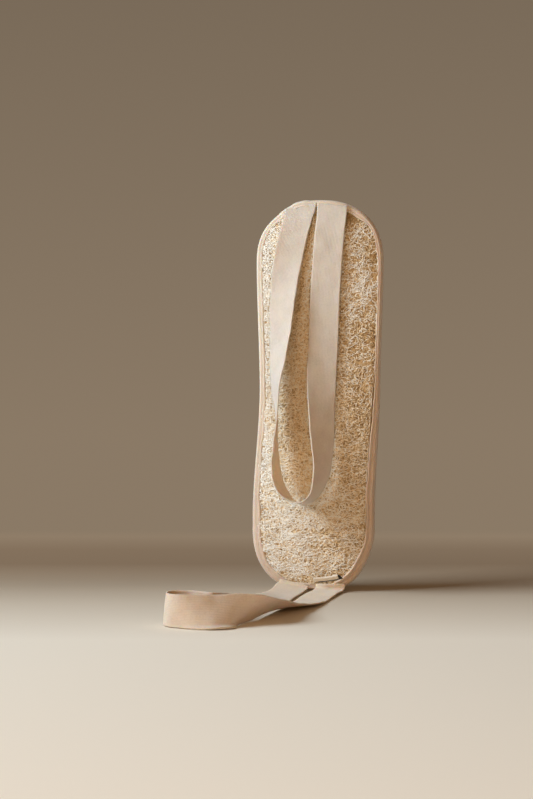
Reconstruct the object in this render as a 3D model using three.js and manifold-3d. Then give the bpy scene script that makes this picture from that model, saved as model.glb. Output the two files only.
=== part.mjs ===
// A loofah back scrubber that stands on its lower end: a long pad of natural loofah with a cloth back,
// bound round its edge with cotton, and a loop of cotton tape sewn to each end as a handle.
// Millimetres, +Z up. The origin is on the floor under the pad, and the loofah faces -Y.
import * as THREE from "three";
import { mergeVertices } from "three/addons/utils/BufferGeometryUtils.js";
import Module from "manifold-3d";

const wasm = await Module();
wasm.setup();

// Driving dimensions of the pad
const PAD_HEIGHT = 330;
const HALF_WIDTH_TOP = 54;
const HALF_WIDTH_WAIST = 51.3;
const HALF_WIDTH_BOTTOM = 52.2;
const WAIST_HEIGHT = 165;
const WAIST_REACH = 115; // from the waist to where an end has its full width
const TOP_RISE = 52; // height of the rounded upper end
const BOTTOM_RISE = 53; // height of the rounded lower end
const FLOOR_PRESS = 2; // how far the lower end is pressed flat where it stands
const END_POWER = 2.3; // 2 would make the ends true ellipses
const LEAN = 5.4; // how far the upper half stands to the right of the foot
const LEAN_FROM = 60;
const LEAN_TO = 175;

// Driving dimensions through the pad
const EDGE_DEPTH = 15; // front to back over the binding
const BINDING_THICK = 1.4;
const BINDING_LIP = 8; // how far the binding laps onto each face
const BINDING_CORNER = 2.2;
const SEAM_GAP = 0.3; // left between pieces that are sewn together
const BACKING_THICK = 3.2;
const NET_RISE = 2.1; // how far the net stands proud of the loofah's edge beside the binding
const FRONT_BULGE = 5.4;
const BACK_BULGE = 3.4;
const BULGE_POWER = 0.6; // small values make the loofah swell steeply out of its binding

// Driving dimensions of the loofah's raised net
const CELL_WIDTH = 8.6;
const CELL_HEIGHT = 6.4;
const NET_DEPTH = 1.7; // from the top of a fibre ridge to the floor of a cell
const NET_OPENING = 0.66; // a cell's floor as a share of the cell
const NET_JITTER = 0.2; // as a share of the cell
const NET_SEED = 7;

// Driving dimensions of the tape loops and the label
const TAPE_WIDTH = 24.6;
const TAPE_THICK = 1.2;
const TAPE_STEPS = 72;
const LABEL_WIDTH = 21;
const LABEL_LENGTH = 6;
const LABEL_THICK = 1.1;
const LABEL_ROOT = [14.5, -10, 9.4]; // the middle of its sewn edge
const LABEL_RISE = THREE.MathUtils.degToRad(48); // out of the seam, upwards
const LABEL_TILT = THREE.MathUtils.degToRad(6); // its right end higher

const PAD_STEPS = [0, 0.3, 0.55, 0.75, 0.86, 1];
const SIDE_STEPS = 11;
const END_STEPS = 20;
const WELD = 1e-4;

const TOP_START = PAD_HEIGHT - TOP_RISE;
const BOTTOM_START = BOTTOM_RISE - FLOOR_PRESS;
const EDGE_FACE = EDGE_DEPTH / 2 - BINDING_THICK - SEAM_GAP; // the pad's faces inside the binding
const LIP_SHARE = 1 - (BINDING_LIP + 2 * SEAM_GAP) / HALF_WIDTH_WAIST;

const material = {
  loofah: new THREE.MeshStandardMaterial({ color: 0xd9c39b, roughness: 0.85, metalness: 0 }),
  cloth: new THREE.MeshStandardMaterial({ color: 0xe3d6c3, roughness: 1, metalness: 0 }),
  cotton: new THREE.MeshStandardMaterial({ color: 0xdcc6ae, roughness: 0.9, metalness: 0 }),
  label: new THREE.MeshStandardMaterial({ color: 0xe6dccd, roughness: 0.8, metalness: 0 }),
};

// Small functions used all over
const share = (value, from, to) => Math.min(1, Math.max(0, (value - from) / (to - from)));
const ease = (t) => t * t * (3 - 2 * t);

// Numbers from 0 to 1 that look random and are the same on each run
function seededRandom(seed) {
  const MULTIPLIER = 16807;
  const MODULUS = 2147483647;
  let state = seed;
  return () => {
    state = (state * MULTIPLIER) % MODULUS;
    return state / MODULUS;
  };
}

// The pad's outline in the XZ plane: its middle line, its half width, and a point of it
const middleX = (z) => LEAN * ease(share(z, LEAN_FROM, LEAN_TO));

function halfWidth(z) {
  const end = z > WAIST_HEIGHT ? HALF_WIDTH_TOP : HALF_WIDTH_BOTTOM;
  const away = share(Math.abs(z - WAIST_HEIGHT), 0, WAIST_REACH);
  return HALF_WIDTH_WAIST + (end - HALF_WIDTH_WAIST) * ease(away);
}

const power = (value) => Math.sign(value) * Math.abs(value) ** (2 / END_POWER);

// An outline point, with the place on the pad's middle line that it is nearest to
function endPoint(angle, start, rise) {
  const z = Math.max(0, start + rise * power(Math.sin(angle)));
  const middle = new THREE.Vector2(middleX(start), start);
  return { at: new THREE.Vector2(middleX(start) + halfWidth(start) * power(Math.cos(angle)), z), middle };
}

function sidePoint(z, side) {
  const middle = new THREE.Vector2(middleX(z), z);
  return { at: new THREE.Vector2(middleX(z) + side * halfWidth(z), z), middle };
}

// The whole outline, anticlockwise as seen from the front
function makeOutline() {
  const points = [];
  const sideHeight = (i) => BOTTOM_START + ((TOP_START - BOTTOM_START) * i) / SIDE_STEPS;
  for (let i = 0; i < SIDE_STEPS; i++) points.push(sidePoint(sideHeight(i), 1));
  for (let i = 0; i < END_STEPS; i++) points.push(endPoint((Math.PI * i) / END_STEPS, TOP_START, TOP_RISE));
  for (let i = SIDE_STEPS; i > 0; i--) points.push(sidePoint(sideHeight(i), -1));
  for (let i = 0; i < END_STEPS; i++) {
    points.push(endPoint(Math.PI + (Math.PI * i) / END_STEPS, BOTTOM_START, BOTTOM_RISE));
  }
  points.forEach((point, i) => {
    const before = points[(i + points.length - 1) % points.length].at;
    const after = points[(i + 1) % points.length].at;
    const along = after.clone().sub(before).normalize();
    point.inward = new THREE.Vector2(-along.y, along.x);
  });
  return points;
}

const outline = makeOutline();

// How far out a place on the pad is: 0 on the middle line, 1 on the outline
function edgeShare(x, z) {
  const start = Math.min(TOP_START, Math.max(BOTTOM_START, z));
  const across = Math.abs(x - middleX(start)) / halfWidth(start);
  const rise = z > start ? TOP_RISE : BOTTOM_RISE;
  return (across ** END_POWER + (Math.abs(z - start) / rise) ** END_POWER) ** (1 / END_POWER);
}

// The pad's swelling: 1 on the middle line, 0 where the binding begins
const swelling = (out) => (1 - Math.min(1, out / LIP_SHARE) ** 2) ** BULGE_POWER;
const frontFace = (out) => -(EDGE_FACE + NET_RISE + FRONT_BULGE * swelling(out));
const loofahBack = (out) => EDGE_FACE - BACKING_THICK - SEAM_GAP + BACK_BULGE * swelling(out);
const backingFront = (out) => loofahBack(out) + SEAM_GAP;
const backingBack = (out) => backingFront(out) + BACKING_THICK;

// A closed solid through rings of points. A path that returns to its start has no ends, and an open
// one is capped. Quads of each ring's second half are split the other way, so that the two faces of
// a thin twisted strip stay the same distance apart.
function loft(rings, { closedPath = false } = {}) {
  const count = rings[0].length;
  const positions = rings.flat().flatMap((p) => [p.x, p.y, p.z]);
  const index = [];
  const last = closedPath ? rings.length : rings.length - 1;
  for (let i = 0; i < last; i++) {
    const a = i * count;
    const b = ((i + 1) % rings.length) * count;
    for (let k = 0; k < count; k++) {
      const next = (k + 1) % count;
      if (k < count / 2) index.push(a + k, a + next, b + next, a + k, b + next, b + k);
      else index.push(a + k, a + next, b + k, a + next, b + next, b + k);
    }
  }
  if (!closedPath) {
    const end = (rings.length - 1) * count;
    for (let k = 1; k < count - 1; k++) {
      index.push(0, k + 1, k, end, end + k, end + k + 1);
    }
  }
  return closedGeometry(positions, index);
}

// A geometry with its shared vertices merged and its collapsed triangles dropped
function closedGeometry(positions, index) {
  const loose = new THREE.BufferGeometry();
  loose.setAttribute("position", new THREE.Float32BufferAttribute(positions, 3));
  loose.setIndex(index);
  const merged = mergeVertices(loose, WELD);
  const kept = [];
  for (let i = 0; i < merged.index.count; i += 3) {
    const [a, b, c] = [0, 1, 2].map((k) => merged.index.getX(i + k));
    if (a !== b && b !== c && c !== a) kept.push(a, b, c);
  }
  merged.setIndex(kept);
  return merged;
}

function toSolid(geometry) {
  return new wasm.Manifold(
    new wasm.Mesh({
      numProp: 3,
      vertProperties: new Float32Array(geometry.attributes.position.array),
      triVerts: new Uint32Array(geometry.index.array),
    }),
  );
}

function toGeometry(solid) {
  const mesh = solid.getMesh();
  const geometry = new THREE.BufferGeometry();
  geometry.setAttribute("position", new THREE.BufferAttribute(mesh.vertProperties, 3));
  geometry.setIndex(new THREE.BufferAttribute(mesh.triVerts, 1));
  return geometry;
}

function named(name, geometry, finish) {
  const mesh = new THREE.Mesh(geometry, finish);
  mesh.name = name;
  return mesh;
}

// A pillow with the pad's outline, set in from it, between a front and a back height.
// The steps are shares of the way out from the middle line.
function pillow(inset, steps, front, back) {
  const ring = (out, y) =>
    outline.map(({ at, middle, inward }) => {
      const edge = at.clone().addScaledVector(inward, inset);
      const place = middle.clone().lerp(edge, out);
      return new THREE.Vector3(place.x, y, place.y);
    });
  const rings = steps.map((out) => ring(out, front(out)));
  rings.push(...steps.toReversed().map((out) => ring(out, back(out))));
  const count = outline.length;
  const index = [];
  for (let i = 0; i < rings.length - 1; i++) {
    for (let k = 0; k < count; k++) {
      const [a, b, next] = [i * count, (i + 1) * count, (k + 1) % count];
      index.push(a + k, b + next, a + next, a + k, b + k, b + next);
    }
  }
  return closedGeometry(rings.flat().flatMap((p) => [p.x, p.y, p.z]), index);
}

// The loofah's front as a block: a raised net of ridges round sunken cells, swelling with the pad
function makeNetBlock() {
  const BLOCK_BACK = 60;
  const random = seededRandom(NET_SEED);
  const jitter = (size) => (random() - 0.5) * 2 * NET_JITTER * size;
  const left = -HALF_WIDTH_TOP - CELL_WIDTH;
  const columns = 2 * Math.ceil((2 * HALF_WIDTH_TOP + LEAN + 2 * CELL_WIDTH) / CELL_WIDTH) + 1;
  const lines = Math.ceil((PAD_HEIGHT + 3 * CELL_HEIGHT) / CELL_HEIGHT);
  const positions = [];
  const index = [];
  const corner = (column, line) => 2 * (line * columns + column);

  for (let line = 0; line < lines; line++) {
    for (let column = 0; column < columns; column++) {
      const zigzag = ((column + line) % 2 === 0 ? 1 : -1) * (CELL_HEIGHT / 6);
      const x = left + (column * CELL_WIDTH) / 2 + jitter(CELL_WIDTH / 2);
      const z = (line - 1) * CELL_HEIGHT + zigzag + jitter(CELL_HEIGHT / 2);
      positions.push(x, frontFace(edgeShare(x, z)), z, x, BLOCK_BACK, z);
    }
  }

  const point = (i) => new THREE.Vector3().fromArray(positions, 3 * i);
  const sides = new Map(); // boundary edges, which the block's side walls hang from
  for (let line = 0; line < lines - 1; line++) {
    for (let column = line % 2; column + 2 < columns; column += 2) {
      const lower = [0, 1, 2].map((step) => corner(column + step, line));
      const upper = [2, 1, 0].map((step) => corner(column + step, line + 1));
      const rim = [...lower, ...upper];
      addCell(rim);
      rim.forEach((from, k) => {
        const to = rim[(k + 1) % rim.length];
        if (!sides.delete(`${to} ${from}`)) sides.set(`${from} ${to}`, [from, to]);
      });
    }
  }
  for (const [from, to] of sides.values()) {
    index.push(from, from + 1, to + 1, from, to + 1, to);
  }
  return closedGeometry(positions, index);

  function addCell(rim) {
    const middle = new THREE.Vector3();
    rim.forEach((i) => middle.addScaledVector(point(i), 1 / rim.length));
    const floor = rim.map((i) => sinkCorner(point(i), middle));
    for (let k = 0; k < rim.length; k++) {
      const next = (k + 1) % rim.length;
      index.push(rim[k], rim[next], floor[next], rim[k], floor[next], floor[k]);
      if (k > 0 && next > 0) {
        index.push(floor[0], floor[k], floor[next], rim[0] + 1, rim[next] + 1, rim[k] + 1);
      }
    }
  }

  function sinkCorner(edge, middle) {
    const at = middle.clone().lerp(edge, NET_OPENING);
    positions.push(at.x, frontFace(edgeShare(at.x, at.z)) + NET_DEPTH, at.z);
    return positions.length / 3 - 1;
  }
}

// The loofah: thin where the binding holds it, and netted where it swells out of the binding
function makeLoofah() {
  const BLANK_FRONT = -40;
  const edge = toSolid(pillow(BINDING_THICK + SEAM_GAP, PAD_STEPS, () => -EDGE_FACE, loofahBack));
  const open = toSolid(pillow(BINDING_LIP + SEAM_GAP, [0, 1], () => BLANK_FRONT, () => 0));
  return toGeometry(edge.add(open).intersect(toSolid(makeNetBlock())));
}

function makeBacking() {
  return pillow(BINDING_THICK + SEAM_GAP, PAD_STEPS, backingFront, backingBack);
}

// The binding: a folded strip round the whole outline, open towards the pad
function makeBinding() {
  const half = EDGE_DEPTH / 2;
  const inner = half - BINDING_THICK;
  const near = BINDING_CORNER * 0.3; // where a rounded corner is cut by its middle facet
  const section = [
    [BINDING_LIP, -half],
    [BINDING_CORNER, -half],
    [near, near - half],
    [0, BINDING_CORNER - half],
    [0, half - BINDING_CORNER],
    [near, half - near],
    [BINDING_CORNER, half],
    [BINDING_LIP, half],
    [BINDING_LIP, inner],
    [BINDING_THICK, inner],
    [BINDING_THICK, -inner],
    [BINDING_LIP, -inner],
  ];
  const rings = outline.map(({ at, inward }) =>
    section.map(([inset, y]) => {
      const place = at.clone().addScaledVector(inward, inset);
      return new THREE.Vector3(place.x, y, place.y);
    }),
  );
  return loft(rings, { closedPath: true });
}

// A tape along a route. Each stop gives one edge of the tape and a point towards its other edge.
function makeTape(route) {
  const edge = new THREE.CatmullRomCurve3(route.map(([x, y, z]) => new THREE.Vector3(x, y, z)));
  const other = new THREE.CatmullRomCurve3(route.map(([, , , x, y, z]) => new THREE.Vector3(x, y, z)));
  const middle = (t) => edge.getPoint(t).lerp(other.getPoint(t), 0.5);
  const STEP = 0.002;
  const rings = [];
  for (let i = 0; i <= TAPE_STEPS; i++) {
    const t = i / TAPE_STEPS;
    const along = middle(Math.min(1, t + STEP)).sub(middle(Math.max(0, t - STEP))).normalize();
    const across = other.getPoint(t).sub(edge.getPoint(t));
    across.addScaledVector(along, -across.dot(along)).setLength(TAPE_WIDTH);
    const through = along.clone().cross(across).setLength(TAPE_THICK / 2);
    const corner = (a, b) => edge.getPoint(t).addScaledVector(across, a).addScaledVector(through, b);
    rings.push([corner(0, -1), corner(1, -1), corner(1, 1), corner(0, 1)]);
  }
  return loft(rings);
}

// The upper loop, from its left end down and round to its right end: the far edge, then the near edge
const UPPER_ROUTE = [
  [-19.7, -8.6, 326, 5.3, -8.6, 326],
  [-20.5, -10, 320, 4.5, -10, 320],
  [-22.0, -12.2, 313, 3.0, -12.3, 313],
  [-26.0, -14.2, 300, -1.1, -15, 300],
  [-31.6, -15.2, 273, -6.7, -16.8, 273],
  [-33.4, -15.4, 246, -10.4, -25.4, 246],
  [-33.5, -15.4, 218, -13.1, -29.8, 218],
  [-32.1, -15.4, 184, -18.2, -36.2, 184],
  [-28.3, -15.4, 148, -22.2, -39.6, 148],
  [-26.2, -15.4, 125, -24.4, -40.3, 126],
  [-23.4, -15.4, 102.2, -25.4, -40.3, 103.8],
  [-16.5, -15.4, 83.7, -21.5, -39.9, 85.3],
  [-5.3, -15.4, 73.6, -6.5, -40.3, 75.4],
  [8.3, -15.4, 83.2, 5.7, -40.2, 84.8],
  [14.8, -15.4, 102.4, 8.1, -39.4, 103.6],
  [18.6, -15.4, 121, 5.1, -36.4, 121.8],
  [20.3, -15.4, 148, 2.3, -32.7, 148],
  [22.4, -15.3, 184, 0.4, -27.2, 184],
  [24.0, -15.2, 211, -0.8, -18.6, 211],
  [25.3, -15.1, 246, 0.3, -15.6, 246],
  [27.0, -15, 272, 2.0, -15, 272],
  [29.1, -14.2, 300, 4.1, -14.3, 300],
  [30.2, -12.2, 313, 5.2, -12.3, 313],
  [30.5, -10, 320, 5.5, -10, 320],
  [30.7, -8.6, 326, 5.7, -8.6, 326],
];

// The lower loop, from its right end out along the floor and back to its left end: the edge that
// runs on the floor, then the edge that rises as the tape turns to stand on its side
const LOWER_ROUTE = [
  [4.2, -8.9, 6.2, 29, -8.9, 6.8],
  [4, -10.4, 3, 28.8, -10.4, 3.4],
  [3.3, -14.5, 1.5, 28.1, -14.5, 1.6],
  [1.6, -28, 0.9, 26.4, -28, 0.9],
  [0.6, -55, 0.7, 25.6, -57, 0.9],
  [-0.5, -80, 0.7, 24.2, -87, 1.8],
  [-2.8, -104, 0.8, 20.4, -112, 4.2],
  [-6, -133, 1.2, 13.4, -146, 10.4],
  [-8, -155, 1.6, 10, -167, 15.2],
  [-10, -175, 1.6, 6, -184, 19],
  [-14.5, -192, 1, -1.2, -195, 22.4],
  [-17.2, -203, 0.5, -9.5, -201.5, 23.6],
  [-18.8, -213, 0.3, -18.5, -206.5, 23.9],
  [-26, -221, 0.3, -29, -211.5, 23.8],
  [-38, -223.5, 0.25, -41, -219.5, 24.4],
  [-54, -222, 0.2, -54, -222.8, 24.7],
  [-63.5, -218.5, 0.2, -62.5, -219.5, 24.7],
  [-67.8, -211, 0.2, -66.6, -211, 24.7],
  [-64.5, -202.8, 0.2, -64.3, -202.5, 24.7],
  [-54.5, -197, 0.2, -54, -196, 24.7],
  [-43, -199.6, 0.2, -44.6, -199.8, 24.6],
  [-33.5, -201.4, 0.3, -38, -203.4, 24],
  [-26.8, -197, 0.4, -35.8, -199.5, 23],
  [-22, -184, 0.5, -34.3, -187.5, 21.2],
  [-18, -166, 0.5, -33.5, -170.5, 18.8],
  [-15, -147, 0.6, -33.2, -152, 16.2],
  [-11.8, -126, 0.7, -32, -131.5, 13],
  [-8, -105, 0.7, -30.6, -110.5, 9.4],
  [-4.4, -82, 0.7, -28.4, -87, 6.6],
  [-3.4, -56, 0.7, -28.2, -58, 4.4],
  [-3.2, -30, 0.8, -28.4, -30, 4.6],
  [-3, -15.5, 1.1, -28.4, -16.2, 6.2],
  [-2.6, -11, 2, -27.2, -11.1, 7.4],
  [-2.2, -9.1, 4, -26.8, -9.2, 9.4],
];

// A blank folded label, sewn in at the foot and standing out over the lower loop
function makeLabel() {
  const outlineShape = new THREE.Shape();
  const half = LABEL_THICK / 2;
  outlineShape.moveTo(0, -half);
  outlineShape.lineTo(LABEL_LENGTH - half, -half);
  outlineShape.absarc(LABEL_LENGTH - half, 0, half, -Math.PI / 2, Math.PI / 2);
  outlineShape.lineTo(0, half);
  outlineShape.closePath();
  const geometry = new THREE.ExtrudeGeometry(outlineShape, {
    depth: LABEL_WIDTH,
    bevelEnabled: false,
    curveSegments: 4,
  });
  const along = new THREE.Vector3(Math.cos(LABEL_TILT), 0, Math.sin(LABEL_TILT));
  const up = new THREE.Vector3(-Math.sin(LABEL_TILT), 0, Math.cos(LABEL_TILT));
  const forward = new THREE.Vector3(0, -1, 0);
  const out = up.multiplyScalar(Math.sin(LABEL_RISE)).addScaledVector(forward, Math.cos(LABEL_RISE));
  const turn = new THREE.Matrix4().makeBasis(out, along.clone().cross(out), along);
  return geometry.translate(0, 0, -LABEL_WIDTH / 2).applyMatrix4(turn).translate(...LABEL_ROOT);
}

const scrubber = new THREE.Group();
scrubber.add(
  named("loofah", makeLoofah(), material.loofah),
  named("backing", makeBacking(), material.cloth),
  named("binding", makeBinding(), material.cotton),
  named("upper_loop", makeTape(UPPER_ROUTE), material.cotton),
  named("lower_loop", makeTape(LOWER_ROUTE), material.cotton),
  named("label", makeLabel(), material.label),
);

export default scrubber;
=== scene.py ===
"""Dresses the loofah back scrubber: the fibre pad, its cloth binding and backing, the two tape loops,
the sewing, the bare label and a plain stage to show them on. Lengths are in metres, and the tables
of stops and sections in millimetres."""
import math

import bmesh
import bpy
import numpy as np
from bpy.props import FloatProperty, FloatVectorProperty, IntProperty, PointerProperty
from mathutils import Matrix, Vector, noise


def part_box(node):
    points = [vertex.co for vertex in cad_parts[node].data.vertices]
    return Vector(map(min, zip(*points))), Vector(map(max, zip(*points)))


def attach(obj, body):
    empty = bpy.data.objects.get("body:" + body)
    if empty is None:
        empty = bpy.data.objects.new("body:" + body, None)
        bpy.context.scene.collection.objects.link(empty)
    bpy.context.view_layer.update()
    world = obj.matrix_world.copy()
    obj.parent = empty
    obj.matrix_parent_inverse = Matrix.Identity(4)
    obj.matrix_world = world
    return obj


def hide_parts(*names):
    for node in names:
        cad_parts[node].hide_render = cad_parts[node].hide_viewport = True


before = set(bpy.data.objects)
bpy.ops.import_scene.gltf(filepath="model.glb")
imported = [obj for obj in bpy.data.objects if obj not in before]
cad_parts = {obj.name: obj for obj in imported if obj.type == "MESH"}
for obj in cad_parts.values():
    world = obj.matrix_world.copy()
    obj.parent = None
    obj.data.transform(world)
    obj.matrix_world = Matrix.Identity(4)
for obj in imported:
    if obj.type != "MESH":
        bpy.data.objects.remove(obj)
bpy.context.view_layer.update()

bl_info = {
    "name": "Loofah Back Scrubber",
    "version": (1, 0, 0),
    "blender": (4, 5, 0),
    "location": "View3D > Sidebar > Scrubber",
    "description": "Builds the fibre, cloth, tape and thread of a loofah back scrubber",
    "category": "Object",
}

BINDING_LOW, BINDING_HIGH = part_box("binding")
LOOFAH_LOW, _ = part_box("loofah")
_, BACKING_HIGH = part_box("backing")
MM = 0.001
TINY = 1e-6

# The pad's outline leans, and leaves room above it for the binding's lap and puckers
LEAN = 5.4 * MM
LAP_ROOM = 1.3 * MM

# The loofah's lumps: broad slanting ones and finer ones over them, flatter on the left
BROAD_LUMP = 17 * MM
LUMP_SLANT = 0.45
LUMP_STRETCH = 0.5
FINE_LUMP = 5.5 * MM
FINE_SHARE = 0.55
LEFT_FLATTER = 0.6
FLATTER_REACH = 45 * MM

# Layers of the net: name, depth of its middle, thickness against the top layer, pull to lie across
NET_LAYERS = (
    ("loofah_net_top", 0.3 * MM, 1.0, 0.42),
    ("loofah_net_upper", 0.6 * MM, 1.0, 0.34),
    ("loofah_net_middle", 0.95 * MM, 1.3, 0.24),
    ("loofah_net_under", 1.4 * MM, 2.0, 0.05),
)
NET_WAVE = 0.36 * MM
NET_WAVE_STEPS = 3.7
FIBRE_SPREAD = 1.1
FIBRE_WIDTHS = (0.7, 1.25)
# How a fibre wanders: the share of its last turn that it keeps, and the spread of new turns in radians
TURN_KEPT = 0.55
TURN_SPREAD = 0.42
# Fibres lie across the pad low down, and less so higher up
LIE_TOP = 0.17
LIE_EASE = 0.11
LIE_LEAST = 0.35
# The net is more open high up on the right
THIN_SHARE = 0.42
THIN_REACH = 22 * MM
THIN_LOW = 150 * MM
# The core below the net, and the trench that it leaves beside the lip
CORE_DEPTH = 1.9 * MM
CORE_GRID = 3 * MM
CORE_LIMIT = 0.955
CORE_BACK = 4 * MM
TRENCH_EASE = 0.03
TRENCH_DEPTH = 3 * MM
# How many grid steps past its limit a face keeps before it is drawn in
EDGE_ROOM = 1.2

# A fibre's tone, from near 1 at the top of the net to 0 deep in it. The browning with depth is partly the
# fibre's own colour and partly painted shade deep in the net
TOP_TONE = 0.89
TONE_DEPTH = 1.9 * MM
# Painted shade in the gaps where the loofah draws back from the binding: the share of the draw that counts
# as depth
TUCK_SHARE = 0.3
FIBRE_UNEVEN = 0.16
# Golden along the middle: painted shade where the hanging strands shade the loofah between them
MIDDLE_TONE = 0.27
MIDDLE_AT = -14.5 * MM
MIDDLE_REACH = 19 * MM
MIDDLE_LOW = 68 * MM
MIDDLE_HIGH = 225 * MM
MIDDLE_EASE = 45 * MM
MIDDLE_FADE = 0.8
# Golden strips of painted shadow beside the two hanging strands: x at their high end and at their low end
SHADE_STRIPS = ((29.5 * MM, 25.6 * MM), (0.5 * MM, -16 * MM))
STRIP_HIGH = 308 * MM
STRIP_LOW = 205 * MM
STRIP_REACH = 2.6 * MM
STRIP_TONE = 0.34
# Golden above the seam at the foot: painted shade
FOOT_TONE = 0.3
FOOT_TOP = 17 * MM
FOOT_EASE = 12 * MM
# Browner on the right, most of all half way up its lower part: painted shade where the pad turns from the
# light and the right strand shades it, with more contrast in the net there
SIDE_TONE = 0.27
SIDE_LEAST = 0.3
SIDE_MIDDLE = 138 * MM
SIDE_SPREAD = 42 * MM
SIDE_REACH = 38 * MM
SIDE_HIGH = 262 * MM
SIDE_CONTRAST = 0.6
# Browner right of the middle, low down
LOW_TONE = 0.13
LOW_AT = 14 * MM
LOW_REACH = 16 * MM
LOW_TOP = 80 * MM
LOW_EASE = 30 * MM
# Painted light: whiter curls over deeper brown where the net is open high on the right, for raking light and
# the shade in its holes, and a paler, calmer left side, which faces the light
OPEN_TONE = 0.37
OPEN_CONTRAST = 0.7
PALE_TONE = 0.14
PALE_CONTRAST = 0.32
CALM_FROM = -20 * MM
CALM_EASE = 20 * MM

# The backing's grid, its loops and slack, its thickness and its outline's share of its box
TERRY_GRID = 1.35 * MM
TERRY_LIMIT = 0.95
TERRY_LOOP = 1.0 * MM
TERRY_GRAIN = 2.3 * MM
TERRY_SAG = 12 * MM
TERRY_THICK = 3 * MM

# The front half of the binding's section in millimetres, from lip to edge: distance in from the edge,
# depth low down on the right, where the lip stands up beside a groove, and depth elsewhere
FRONT_SECTION = (
    (5.4, -5.0, -5.0),
    (6.0, -6.8, -6.2),
    (5.8, -8.1, -7.0),
    (5.0, -8.5, -7.3),
    (4.3, -7.8, -7.1),
    (3.7, -6.1, -6.6),
    (3.0, -6.5, -7.0),
    (1.8, -6.4, -6.7),
    (0.5, -4.8, -4.8),
    (0.0, -2.4, -2.4),
)
# Its back half mirrors the depths elsewhere
BACK_SECTION = tuple((inset, -depth, -depth) for inset, _, depth in reversed(FRONT_SECTION))
BINDING_SECTION = FRONT_SECTION + BACK_SECTION
SECTION_PER_STOP = 30
SECTION_STEPS = 34
RING_STATIONS = 420
# The binding is freer to move in from the edge, where it puckers closely and wanders slowly
FREE_FROM = 2 * MM
FREE_EASE = 3.5 * MM
PUCKER = 7 * MM
PUCKER_IN = 0.35 * MM
PUCKER_OUT = 0.45 * MM
PUCKER_LEAST = 0.12 * MM
WANDER = 15 * MM
WANDER_IN = 0.9 * MM
# The front lip is narrower high up on the right, and wider and higher at the lower corners.
# A side is told by how far the outline's outward direction points sideways.
RIGHT_NARROWING = 0.42
RIGHT_AWAY = (0.55, 1.0)
CORNER_WIDENING = 0.4
CORNER_LIFT = 1.0 * MM
CORNER_AWAY = 0.8
CORNER_TOP = 105 * MM
RIGHT_CORNER_TOP = 62 * MM
CORNER_EASE = 60 * MM
# At the top it covers the upper loop's ends, and its own two ends lap
NEAR_TOP = 0.9
COVERED_ENDS = (-26 * MM, 31.2 * MM)
COVER_EASE = 3 * MM
COVER_RISE = 1.9 * MM
COVER_INSET = 7.0 * MM
BINDING_JOIN = (-17.5 * MM, -3 * MM)
JOIN_EASE = 1.5 * MM
JOIN_RISE = 0.8 * MM
# It is painted paler towards its upper left, where the light falls on it: a turn of the coordinates, and the
# reach along the turned x
LIT_SIDE_TURN = math.radians(-15)
BINDING_LIT_SIDE = (-50 * MM, -98 * MM)

# The section's two rows at the bottom of the front and back grooves, where the stitches lie
STITCH_GROOVES = (BINDING_SECTION[5], BINDING_SECTION[14])
STITCH_SINK = 0.25 * MM
STITCH_EVERY = 1.3
# A stitch along its length: place along it, how far it stands up, and its thickness
STITCH_SHAPE = ((-0.5, -0.8, 0.6), (-0.3, 0.5, 1.0), (0.0, 0.9, 1.1), (0.3, 0.5, 1.0), (0.5, -0.8, 0.6))

# The tape's grid, its room above the floor and the share of its length that its ends hold flat
TAPE_STATIONS = 330
TAPE_ROWS = 24
TAPE_CLEAR = 0.5 * MM
TAPE_HELD = 0.05
# Its creases and slow waves, as grain and height, and how far its edges cup
CREASE = 11 * MM
CREASE_HEIGHT = 0.55 * MM
WAVE = 34 * MM
WAVE_HEIGHT = 0.9 * MM
CUP = 0.3 * MM
# Its first edge may flare for a stretch: where that starts and ends along the tape, and how far it turns
LIP_FLARE = (0.39, 0.505, 4.0 * MM)
NO_FLARE = (0.0, 0.0, 0.0)
FLARE_WIDTH = 0.1
FLARE_START = 0.012
FLARE_END = 0.08
# The depths between which the lower loop's tape changes colour: near the pad it is paler, painted light
# bounced from the pad
TAPE_FOOT_LIGHT = (-150 * MM, -50 * MM)

# The label's root in the seam, its two angles, how much shorter its front layer is, how far its back
# layer is pushed sideways, the gap between the layers, their sag and the label's thickness
LABEL_ROOT = Vector((14.5, -12.4, 8.8)) * MM
LABEL_RISE = math.radians(48)
LABEL_TILT = math.radians(9)
LABEL_SHORT = 2.8 * MM
LABEL_SKEW = 2.8 * MM
LABEL_GAP = 0.5 * MM
LABEL_SAG = 0.5 * MM
LABEL_THICK = 0.3 * MM
LABEL_GRID = (24, 20)
# How sharply the label bends at its fold, and how soon its two layers part there
LABEL_BEND = 1.5
LABEL_PARTING = 3

# Shades of a finish: place along its texture, and how much darker or lighter
WEAVE_SHADES = ((0.2, 0.8), (0.5, 1.0), (0.85, 1.12))
TERRY_SHADES = ((0.3, 0.78), (0.5, 1.0), (0.7, 1.1))
THREAD_SHADES = ((0.1, 0.75), (0.6, 1.0), (1.0, 1.12))
LABEL_SHADES = ((0.0, 0.88), (1.0, 1.05))
BACKDROP_SHADES = ((0.0, 1.0), (0.85, 0.76))
WEFT_PITCH = 1.4
CORE_SHADE = 0.88
# Thin cloth lets a warm share of the light through
THIN_CLOTH = {"Subsurface Weight": 0.35, "Subsurface Radius": (1.0, 0.5, 0.22), "Subsurface Scale": 2.5 * MM}

# Half widths of the floor and the backdrop, how far behind the pad the backdrop stands, the height
# over which it darkens, and the grid of both
FLOOR_HALF = 4.0
BACKDROP_HALF = 4.0
BACKDROP_BEHIND = 3.2
BACKDROP_TOP = 1.43
STAGE_GRID = 8
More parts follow.
